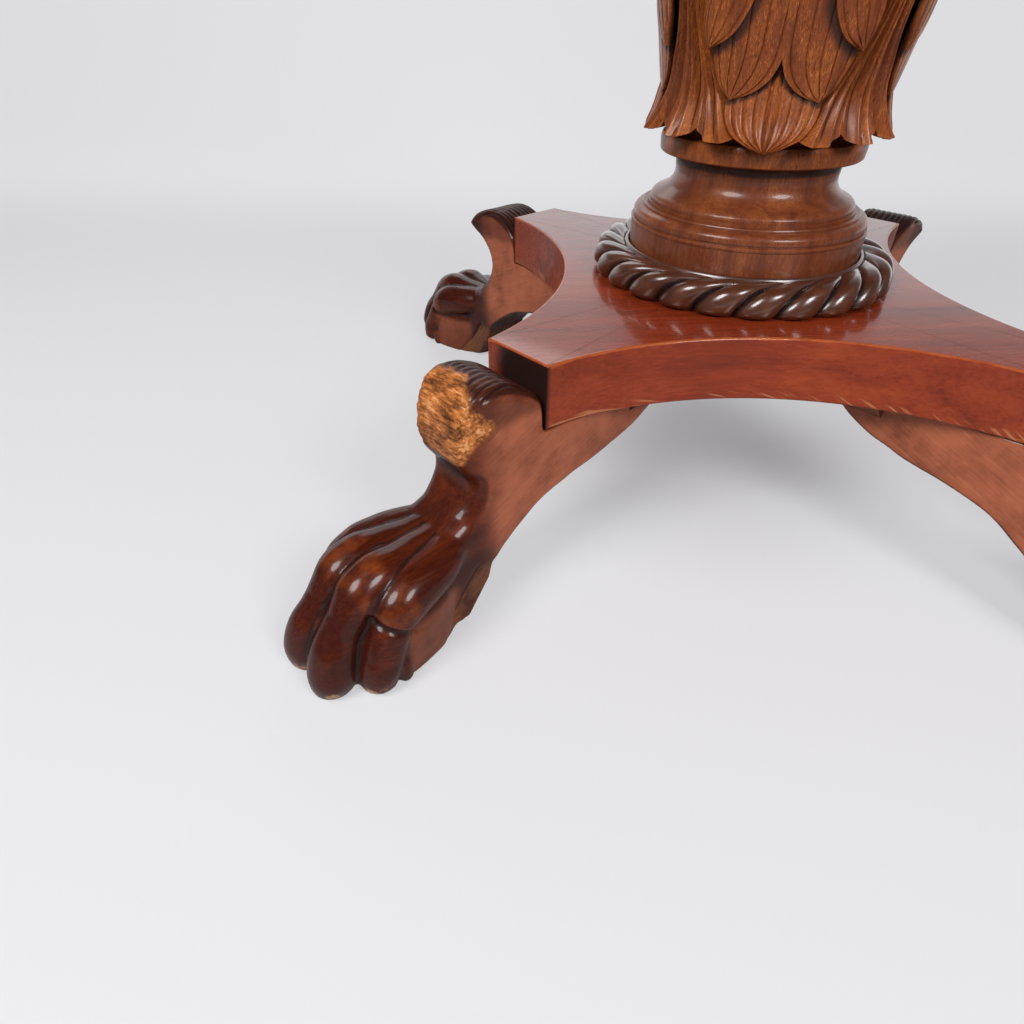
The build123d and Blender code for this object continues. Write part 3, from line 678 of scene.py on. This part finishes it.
# in mm, with x out along the leg, y across it and z up; a cut fades in from the first number to the second
legCuts = {
    "hair": {"deep": 1.0, "x": (206, 216), "z": (120, 130), "lock": 4.4, "sway": 2.5, "swayRun": 13.0},
    "heelBack": {"at": (245.5, 23.5), "slope": (0.8, 0.6)},
    "tuft": {"deep": 0.9, "inset": 0.8, "z": (38, 33), "reach": (17, 15), "behind": (6, 2), "lock": 4.2,
             "backLock": 6.0},
    "step": {"deep": 1.3, "z": (42, 36), "at": 17.0, "wide": 1.3},
    "crease": {"deep": 1.7, "at": (315.5, 37), "slope": (0.555, -0.832), "wide": 2.0, "x": (300, 306),
               "xEnd": (331, 325), "y": (18.5, 21.5), "z": (26, 30)},
    "bend": {"deep": 0.3, "at": (334.5, 41), "slope": (0.66, -0.75), "wide": 2.2, "x": (318, 324),
             "y": (19, 16), "z": (28, 32)},
    "wobble": 0.16,
}


def beyond(x, z, line):
    # distance past a line drawn across the leg's side through a point
    return (x - line["at"][0]) * line["slope"][0] + (z - line["at"][1]) * line["slope"][1]


def toeCut(x, y, z, line):
    # 1 along such a line, fading over its width and outside its own part of the paw
    across = np.exp(-(beyond(x, z, line) / line["wide"]) ** 2)
    return ease(*line["y"], np.abs(y)) * ease(*line["z"], z) * across * ease(*line["x"], x)


def wornPlaces(p, n):
    # sawn sides behind the paw and along its pad, and the tips of the toes, from place and facing
    x, z = p[:, 0], p[:, 2]
    facing = np.abs(n[:, 1])
    flat = ease(0.85, 0.97, facing) * ease(258, 236, x) * (1 - 0.6 * ease(120, 128, z))
    flat = flat * ease(272, 240, x + 0.55 * np.maximum(0, 70 - z))
    pad = ease(36, 30, z) * ease(266, 276, x) * ease(318, 310, x)
    tip = ease(16, 5, z) * ease(322, 330, x) * ease(-0.2, 0.25, n[:, 0])
    return flat + 0.45 * ease(0.6, 0.85, facing) * pad, tip


def tornNose(p):
    # the broken end narrows and its front is torn along slanting fibres: points, rawness and the move of each
    s, p = noseShape, p.copy()
    x, y, z = p.T  # views, so y follows the narrowing
    p[:, 1] *= 1 - s["narrow"] * (ease(243, 262, x) * ease(90, 97, z)) ** 1.3
    front = x - s["rawFrom"] - s["rawSlope"] * np.maximum(0, 126 - z) + 2.4 * waves(p, 8, 24, 0.02, 0.12)
    front = front - ease(0, 14, y) * np.clip(z - 126, 0, 11)
    stretch = p @ np.array([[1.0, 0, 0], [0, 0.30, 0.9], [0, -0.9, 0.9]]).T
    torn = 0.30 * waves(stretch, 3, 40, 0.05, 0.22) + 0.16 * waves(p, 5, 60, 0.22, 0.42)
    return p, ease(-1.5, 3.5, front) * ease(93, 97, z), torn - 0.5


def carve(p, n, nose):
    # moves points along the normal: hair lines over the roll, creases on the paw, ridges on the heel tuft and
    # torn wood; also gives the numbers that the finish reads
    hair, tuft, step, crease, bend = [legCuts[key] for key in ("hair", "tuft", "step", "crease", "bend")]
    x, y, z = p.T
    crown = ease(*hair["z"], z) * ease(0.05, 0.5, n[:, 2] + 0.4 * n[:, 0]) * ease(*hair["x"], x)
    sway = hair["sway"] * np.sin((x - 205) / hair["swayRun"])
    lock = (y + sway + 0.8 * waves(p, 21, 12, 0.01, 0.04)) / hair["lock"]
    hairDeep = crown * (1 - ease(0.0, 0.75, np.abs(np.sin(np.pi * lock))))
    back = beyond(x, z, legCuts["heelBack"])  # distance in front of the heel's sloping back
    sideFace = ease(0.45, 0.8, np.abs(n[:, 1]))
    tuftSide = sideFace * ease(*tuft["z"], z) * ease(*tuft["reach"], back)
    tuftBack = ease(*tuft["z"], z) * ease(*tuft["behind"], back) * (1 - sideFace)
    ridge = np.abs(np.sin(np.pi * (back + 0.9 * waves(p, 22, 14, 0.02, 0.07)) / tuft["lock"])) * tuftSide
    ridge = ridge + np.abs(np.sin(np.pi * y / tuft["backLock"])) * tuftBack
    tufted = np.clip(tuftSide + tuftBack, 0, 1)
    tuftDeep = tufted * (1 - ease(0.0, 0.7, ridge)) * ease(1.5, 4, z)
    stepDeep = sideFace * ease(*step["z"], z) * np.exp(-((back - step["at"]) / step["wide"]) ** 2)
    creaseDeep = toeCut(x, y, z, crease) * ease(*crease["xEnd"], x)  # below an outer toe's knuckle
    bendDeep = toeCut(x, y, z, bend)  # the same on an inner toe
    move = -hair["deep"] * hairDeep - tuft["deep"] * tuftDeep - step["deep"] * stepDeep
    move = move - crease["deep"] * creaseDeep - bend["deep"] * bendDeep - tuft["inset"] * tufted
    flat, tip = wornPlaces(p, n)
    raw = np.zeros(len(p))
    if nose:
        p, raw, torn = tornNose(p)
        move = move * (1 - raw) + raw * torn
    q = p + n * (move + legCuts["wobble"] * waves(p, 11, 24, 0.02, 0.07))[:, None]
    q[:, 2] = np.maximum(q[:, 2], 0.0)  # flat soles on the floor
    # painted shade in the hair, tuft, step and crease grooves
    dark = np.clip(hairDeep + tuftDeep * 0.6 + stepDeep * 0.8 + creaseDeep * 0.7, 0, 1)
    return q, {"flat": flat, "tip": tip, "raw": raw, "groove": dark, "tuft": tufted,
               "crown": crown * (1 - raw)}


def hollowness(p, faces, rounds=14):
    # how far each point stands off the mean of its neighbours, eased over several rounds
    edges = np.concatenate([faces[:, [0, 1]], faces[:, [1, 2]], faces[:, [2, 3]], faces[:, [3, 0]]])
    a, b = np.concatenate([edges[:, 0], edges[:, 1]]), np.concatenate([edges[:, 1], edges[:, 0]])
    degree = np.bincount(a, minlength=len(p)).astype(float)[:, None]
    mean = p.copy()
    for _ in range(rounds):
        mean = np.stack([np.bincount(a, mean[b, k], len(p)) for k in range(3)], -1) / degree
    return mean - p


def makeLegs():
    # one whole leg and one with the broken nose are carved, and each is turned to its places
    blanks = {}
    for nose in (False, True):
        p, n, quads = carvedLeg(nose)
        q, values = carve(p, n, nose)
        bend = (hollowness(q, quads) * n).sum(1)
        # painted shade in the hollows, from how far each point sinks below its neighbours, and in the
        # grooves; none on torn wood
        values["deep"] = np.maximum(ease(0.08, 0.6, bend) * (1 - values["raw"]), values.pop("groove"))
        x, z = q[:, 0], q[:, 2]
        knuckle = np.exp(-((x - 326) / 17) ** 2) * ease(30, 52, z)
        knuckle = knuckle + np.exp(-((x - 310) / 15) ** 2) * ease(26, 46, z)
        high = ease(0.0, 0.35, -bend) * (1 - values["flat"]) * (0.2 + 0.34 * knuckle)
        values["high"] = np.clip(high, 0, 1)
        values["outAlong"], values["acrossIt"] = x * mm, q[:, 1] * mm
        blanks[nose] = q, quads, values
    for name, angle in legAngles.items():
        q, quads, values = blanks[name == "front_left"]
        piece = addPiece("leg_" + name + "_carved", turnZ(q, angle), quads, values, sharp=0, merge=False,
                         outward=False)
        finishPiece(piece, finishes["leg"], "carved_mahogany", "leg_" + name)
    print("legs made", len(quads) * 2, "triangles each")


makeLegs()


# carved column

columnShape = {  # leaf outlines are (arc, height) on the unrolled column, with arcs at the reference radius
    "turn": -103.0, "reference": 66.0, "foot": 214.05, "head": 555.95, "coreInset": 3.4,
    "core": [[(50.4, 214.05), (50.6, 217.4)], [(51.5, 219.4), (57.0, 220.8), (60.6, 221.7)],
             [(61.4, 222.4), (61.7, 225.0), (61.6, 230.6), (61.0, 232.2)],
             [(60.0, 232.8), (57.5, 234.0), (57.5, 246.0)]],
    "neck": [[(49.0, 521), (48.4, 524.6)], [(48.2, 525), (54, 527.2), (58, 533.6), (54, 540.8), (48.2, 543)],
             [(46.4, 545.4), (45.2, 548), (45, 555.95)]],
    "cleft": [(-2.0, 521), (-2.0, 440), (-2.0, 340), (-1.6, 290), (0.2, 273), (3.4, 265.5), (10, 259.5),
              (23, 254.5)],
    "lobe": [(9, 521), (24, 470), (33, 410), (36, 350), (36.5, 310), (36, 288), (33.5, 271), (29, 260.5),
             (23, 254.5)],
    "tierInner": [(3, 350), (10, 324), (15, 305), (19, 292), (25, 283), (36, 277)],
    "tierOuter": [(22, 350), (32, 324), (38, 304), (39.5, 289), (36, 277)],
    "tiers": [(1.0, 0), (1.02, 46), (0.98, 92), (0.86, 136)],  # how much wider and higher each tier lies
    "underSide": [(16, 280), (23, 264), (24.5, 254), (22.5, 246), (17.0, 239.0), (9, 234.6), (0, 231.4)],
    "fanSide": [(6, 521), (7, 440), (8, 370), (8.5, 310), (10, 294), (13, 284), (18, 275), (23, 266),
                (29, 255), (34.5, 246), (40, 238.0)],
}
columnLines = {key: smoothLine(line, count) for key, count, line in [  # radius by height, for each layer
    ("vase", 400, [(246, 60.8), (251, 61.5), (272, 65.5), (300, 72.0), (350, 79.0), (395, 81.0), (450, 75.0),
                   (500, 61.0), (522, 53.0)]),
    ("under", 200, [(231, 72.8), (236, 71.0), (243, 68.2), (254, 65.4), (276, 62.4)]),
    ("fan", 400, [(228, 74.6), (233, 73.6), (238, 70.6), (246, 66.6), (257, 63.6), (272, 65.2), (300, 71.6),
                  (350, 78.6), (395, 80.6), (450, 74.6), (500, 60.6), (521, 53.0)])]}


def layerRadius(key, z):
    # a layer's radius at each height, read off its line
    return np.interp(z, columnLines[key][:, 0], columnLines[key][:, 1])


def lying(lift, tip, start, crown, sunk=0.0):
    # rests on the vase, sunk at its upper end, and lifts off it towards the tip, rounded across
    def radius(z, u, v):
        raised = lift - sunk * ease(0.4, 0.0, v) + tip * ease(start, 1.0, v) ** 1.5
        return layerRadius("vase", z) + raised - crown * (2 * u - 1) ** 2
    return radius


def underRadius(z, u, v):
    # fluted, with a ridge down the middle and a raised rim
    side = np.minimum(u, 1 - u)
    flutes = 0.9 * np.abs(np.cos(np.pi * 8 * u)) * ease(0.0, 0.06, side) * ease(270, 250, z)
    ridge = 1.2 * np.exp(-((u - 0.5) / 0.04) ** 2) * ease(1.0, 0.7, v)
    rim = 1.1 * np.exp(-(side / 0.025) ** 2)
    return layerRadius("under", z) + flutes + (ridge + rim)


def fold(u):
    # three scallops hang down: 1 in the middle of each, 0 in the notches and at both corners
    return np.abs(np.sin(3 * np.pi * u)) ** 0.8


def fanRadius(z, u, v):
    # ribbed all the way down, and flaring out at the foot most in the middle of each scallop
    ribs = 0.9 * np.cos(2 * np.pi * 9 * u)
    flare = (3.6 * (fold(u) - 0.62) + ribs) * ease(0.50, 0.97, v) ** 1.4
    return layerRadius("fan", z) + flare + ribs * ease(0.0, 0.3, v) * 0.8


def fanEdge(u, v):
    # how far the scallops hang below the fan's straight foot
    return -5.6 * (fold(u) - 0.45) * ease(0.74, 1.0, v)


def nearLine(arc, z, line):
    # distance in mm on the unrolled column from every point to a drawn line
    drawn = smoothLine(line, 90)
    return np.hypot(arc[..., None] - drawn[:, 0], z[..., None] - drawn[:, 1]).min(-1)


def bothFaces(outer, inner):
    # one closed loop per row: across the outer face and back across the inner one
    return np.concatenate([outer, inner[:, ::-1]], 1)


def blade(left, right, radius, veins, veinDeep, rows, cols, thick=2.6, edge=None, under=(), dark=0.45):
    # a leaf between two boundary lines; points slide straight across from one line to the other
    a, b = smoothLine(left, rows)[:, None], smoothLine(right, rows)[:, None]
    u, v = np.linspace(0, 1, cols)[None, :, None], np.linspace(0, 1, rows)[:, None]
    flat = (1 - u) * a + u * b
    arc, z, u = flat[..., 0], flat[..., 1], u[..., 0]
    if edge is not None:
        z = z + edge(u, v)
    fade = ease(0.02, 0.2, v) * ease(1.0, 0.985, v)
    vein = np.abs(np.sin(np.pi * (u * veins + 0.5)))
    # painted shade in the veins' grooves, as strong as dark
    cut = (1 - ease(0.0, 0.30, vein)) * fade * ease(0.0, 0.05, u) * ease(1.0, 0.95, u)
    deep = np.clip(cut, 0, 1) * dark
    for line, reach in under:  # painted shade under the edges of leaves that lie over this one
        deep = np.maximum(deep, ease(reach, 0.4, nearLine(arc, z, line)))
    rim = ease(0.10, 0.0, np.minimum(u, 1 - u)) * ease(0.25, 0.5, v)
    rim = rim + 0.6 * ease(0.975, 1.0, v)
    high = np.clip(0.25 * (1 - (2 * u - 1) ** 2) + 0.65 * rim, 0, 1)
    r, angle = radius(z, u, v) - veinDeep * cut, arc / columnShape["reference"]
    points = spun(bothFaces(r, r - thick), bothFaces(angle, angle), bothFaces(z, z))
    # the inner face is painted fully dark, as shade under the leaf
    return points, bothFaces(high, 0 * high), bothFaces(deep, np.ones_like(deep))


def pair(*given, **more):
    # a blade and its mirror image
    p, high, deep = blade(*given, **more)
    return [(p, high, deep), (p * np.array([1, -1, 1]), high, deep)]


def opposite(line):
    # an outline mirrored to the other side of the leaf
    return [(-x, h) for x, h in line]


def leafPiece(name, blades, angles):
    # every blade, copied round the column
    solids = [capped(turnZ(each[0], turn)) for turn in angles for each in blades]
    values = {key: np.concatenate([each[i].ravel() for each in blades] * len(angles))
              for i, key in ((1, "high"), (2, "deep"))}
    finishPiece(addPiece(name, *together(solids), values, sharp=48), finishes["carving"], "carved_mahogany")


def makeColumn():
    c = columnShape
    # core: plain collar, undercut, vase a little inside the leaves, and the bead at its head
    z = np.linspace(248, 519, 90)
    vase = np.stack([layerRadius("vase", z) - c["coreInset"], z], -1)
    core, neck = [[smoothLine(run, 14) for run in c[key]] for key in ("core", "neck")]
    points, faces = lathe(closedIn(np.concatenate([*core, vase, *neck]), c["foot"], c["head"], 7), 220)
    z = points[..., 2]
    # painted shade: dark on the vase between the leaves, and a dark band under the collar
    deep = 0.85 * ease(233.0, 236.0, z) * ease(526, 520, z)
    deep = deep + ease(213.0, 218.0, z) * ease(222.5, 220.5, z)
    piece = addPiece("columnVase", points, faces, {"deep": deep, "high": 0 * deep}, sharp=35)
    finishPiece(piece, finishes["carving"], "carved_mahogany", "column_shaft")

    quarters = [c["turn"] + 90 * i for i in range(4)]
    tiers = [[[(x * widen, h + step) for x, h in c[key]] for key in ("tierInner", "tierOuter")]
             for widen, step in c["tiers"]]
    lobes = pair(c["cleft"], c["lobe"], lying(0.0, 4.4, 0.55, 0.5), veins=5, veinDeep=0.8, rows=76, cols=51,
                 under=[(inner[1:], 7.5) for inner, outer in tiers])
    for inner, outer in tiers:
        lobes += pair(inner, outer, lying(1.6, 4.6, 0.2, 0.8, 3.6), veins=4, veinDeep=0.8, rows=24, cols=25)
    leafPiece("broadLeaves", lobes, quarters)
    side = c["underSide"]
    under = blade(opposite(side), side, underRadius, veins=8, veinDeep=0.3, rows=90, cols=97, thick=2.4,
                  under=[(c["cleft"], 4.2), (opposite(c["cleft"]), 4.2)])
    leafPiece("underLeaves", [under], quarters)
    side = c["fanSide"]
    fan = blade(opposite(side), side, fanRadius, veins=9, veinDeep=0.35, rows=100, cols=109, thick=3.0,
                edge=fanEdge, dark=1.0)
    leafPiece("fanLeaves", [fan], [angle + 45 for angle in quarters])
    print("column carved")


makeColumn()


# apron

apronShape = {"outer": 425.0, "wall": 22.0, "low": 651.0, "high": 715.0, "bead": 4.5, "gap": 0.0002}


def makeApron():
    # a wall profile with a bead along its foot, carried round a quarter circle
    s = apronShape
    b = np.linspace(-np.pi / 2, np.pi / 2, 13)
    bead = np.stack([s["outer"] - 2 + s["bead"] * np.cos(b), s["low"] + s["bead"] * (1 + np.sin(b))], -1)
    wall = [(s["outer"], height) for height in (s["low"] + 2 * s["bead"] + 0.6, 675, 700, s["high"])]
    back = [(s["outer"] - s["wall"], height) for height in (s["high"], 690, s["low"])]
    line = np.concatenate([bead, wall, back])
    for i, name in enumerate(("back_right", "back_left", "front_left", "front_right")):
        a = np.radians(90 * i) + np.linspace(s["gap"], np.pi / 2 - s["gap"], 91)[:, None]
        piece = addPiece("apron_" + name + "_curve", *capped(spun(line[:, 0], a, line[:, 1])), sharp=30)
        finishPiece(piece, finishes["turning"], "polished_mahogany", "apron_" + name)


makeApron()
print("apron made")


# plain woods and steel on the solids that stay as they are

def plainWood(name, look):
    # bare wood with the same figure and open pores, and no varnish
    paint = Paint(name)
    colour, poreMask, fibre, cloud = mahoganyParts(paint, look)
    normal = paint.bump(fibre * 0.6 - poreMask * 0.5, 0.0004)
    return paint.finish(Base_Color=colour, Roughness=cloud * 0.2 + 0.55, Normal=normal)


def dullSteel():
    # drawn steel with fine lines and brown spots of rust
    paint = Paint("dullSteel")
    lines = paint.noise((900, 900, 60), 3, 0.6)
    spots = paint.noise(160, 4, 0.7).span(0.56, 0.68)
    bare = paint.ramp(lines, [(0.3, (0.22, 0.21, 0.20)), (0.7, (0.42, 0.41, 0.40))])
    colour = paint.blend(spots * 0.7, bare, (0.13, 0.05, 0.022))
    rough = lines * 0.2 + spots * 0.3 + 0.28
    return paint.finish(Base_Color=colour, Roughness=rough, Metallic=1.0 - spots * 0.8)


beech, steel = plainWood("plainBeech", looks["beech"]), dullSteel()
for key, node in nodes.items():
    if node.hide_render:
        continue
    wanted = steel if any(word in key for word in ("screws", "rod")) else beech
    if key in ("cap_block", "platform_glue_blocks"):
        wanted = finishes["turning"]
    node.data.materials.clear()
    node.data.materials.append(wanted)
print("solids painted")


# stage, light and camera

stageLook = {
    "bend": [(800, 0), (900, 0), (1150, 60), (1250, 300), (1260, 600)], "wide": 3200, "sunk": 0.3,
    "floor": (0.48, 0.48, 0.494), "seen": (1.0, 0.998, 1.02), "strength": 1.2, "glow": 0.38, "fade": 0.4,
    "wallGlow": 0.13, "wallShine": 0.85, "wallFrom": (0.5, 1.1), "shineFrom": (0.80, 0.45),
    "fadeFrom": (0.19, 0.05),
}
roomLook = {"colour": (0.95, 0.97, 1.0, 1), "light": 0.12, "seen": 0.76}
lamps = [  # name, place, size, power
    ("leftLamp", (-900, -1000, 1250), 0.75, 22), ("rightLamp", (750, -1250, 1150), 0.65, 19),
    ("overLamp", (-150, -250, 1900), 1.4, 4), ("backLamp", (-300, 1150, 900), 0.8, 2.5)]
lampAim = (-60, -90, 110)
cameraView = {"place": (-127.25, -479.38, 299.47), "pitch": 37.92, "yaw": -3.46,
              "sensor": 36, "focal": 664.18 / 1024}


def makeStage():
    # a floor that bends up into a wall well behind the table; the camera sees it lifted to a pale even tone,
    # except for a painted shadow under the platform
    look = stageLook
    ahead, behind = [(-3000, 0), (-600, 0), (0, 0), (600, 0)], [(1260, 2600)]
    run = np.concatenate([ahead, smoothLine(look["bend"], 60), behind])
    x = np.linspace(-look["wide"], look["wide"], 8)
    points = np.stack([x[None] + 0 * run[:, :1], run[:, :1] + 0 * x, run[:, 1:] - look["sunk"] + 0 * x], -1)
    floor = addPiece("paleFloor", points, gridFaces(len(run), 8), sharp=0, outward=False)
    paint = Paint("paleFloorPaint")
    cloud = paint.noise(1.3, 2, 0.5)
    colour = paint.ramp(cloud, [(0.3, tuple(0.98 * np.array(look["floor"]))), (0.7, look["floor"])])
    made = paint.finish(Base_Color=colour, Roughness=0.6)
    glow = paint.node("ShaderNodeEmission", None, {"Color": look["seen"], "Strength": look["strength"]})
    seen, glossy = [paint.node("ShaderNodeLightPath", out=out) for out in (0, 3)]
    aside, away, up = [paint.axis(index) for index in range(3)]
    wall = away.span(*look["wallFrom"])
    # painted shadow: the lift fades near the table's axis, so the floor under the platform is darker
    near = ((away ** 2.0 + aside ** 2.0) ** 0.5).span(*look["fadeFrom"])  # more shade under the platform
    lift = (1.0 - near * look["fade"]) * look["glow"] + wall * look["wallGlow"]
    shine = glossy * wall * up.span(*look["shineFrom"]) * look["wallShine"]  # gloss shows the wall's foot
    painted = Value(paint, paint.shader.outputs[0])
    both = paint.node("ShaderNodeMixShader", None, [seen * lift + shine, painted, glow])
    paint.put(paint.tree.nodes["Material Output"].inputs["Surface"], both)
    floor.data.materials.append(made)


def standAt(thing, place, x, y, z):
    # puts an object at a place in mm, with its axes along three directions
    bpy.context.scene.collection.objects.link(thing)
    turn = Matrix(np.stack([x, y, z], 1).tolist()).to_4x4()
    turn.translation = np.array(place) * mm
    thing.matrix_world = turn


def areaLamp(name, place, size, power):
    # a round soft lamp that looks at the aim
    data = bpy.data.lights.new(name, "AREA")
    data.shape, data.size, data.energy = "DISK", size, power
    z = np.array(place, float) - np.array(lampAim, float)
    z /= np.linalg.norm(z)
    x = np.cross([0, 0, 1.0], z)
    x /= np.linalg.norm(x)
    standAt(bpy.data.objects.new(name, data), place, x, np.cross(z, x), z)


def makeLight():
    # a dim room that the camera sees as pale, and the lamps
    world = bpy.data.worlds.new("softRoom")
    bpy.context.scene.world = world
    world.use_nodes = True
    tree = world.node_tree
    room, seen = tree.nodes["Background"], tree.nodes.new("ShaderNodeBackground")
    for back, key in ((room, "light"), (seen, "seen")):
        back.inputs["Color"].default_value = roomLook["colour"]
        back.inputs["Strength"].default_value = roomLook[key]
    both = tree.nodes.new("ShaderNodeMixShader")  # the camera alone sees the pale surroundings
    tree.links.new(tree.nodes.new("ShaderNodeLightPath").outputs["Is Camera Ray"], both.inputs[0])
    tree.links.new(room.outputs[0], both.inputs[1])
    tree.links.new(seen.outputs[0], both.inputs[2])
    tree.links.new(both.outputs[0], tree.nodes["World Output"].inputs["Surface"])
    for lamp in lamps:
        areaLamp(*lamp)


def makeCamera():
    # looks ahead by yaw and down by pitch, and level from side to side
    view = cameraView
    p, w = math.radians(view["pitch"]), math.radians(view["yaw"])
    ahead = np.array([math.sin(w) * math.cos(p), math.cos(w) * math.cos(p), -math.sin(p)])
    right = np.array([math.cos(w), -math.sin(w), 0])
    data = bpy.data.cameras.new("photoCamera")
    data.sensor_width, data.lens, data.clip_start = view["sensor"], view["focal"] * view["sensor"], 0.01
    camera = bpy.data.objects.new("photoCamera", data)
    standAt(camera, view["place"], right, np.cross(right, ahead), -ahead)
    bpy.context.scene.camera = camera


makeStage()
makeLight()
makeCamera()
bpy.context.scene.view_settings.view_transform = "Standard"
print("stage, light and camera ready")
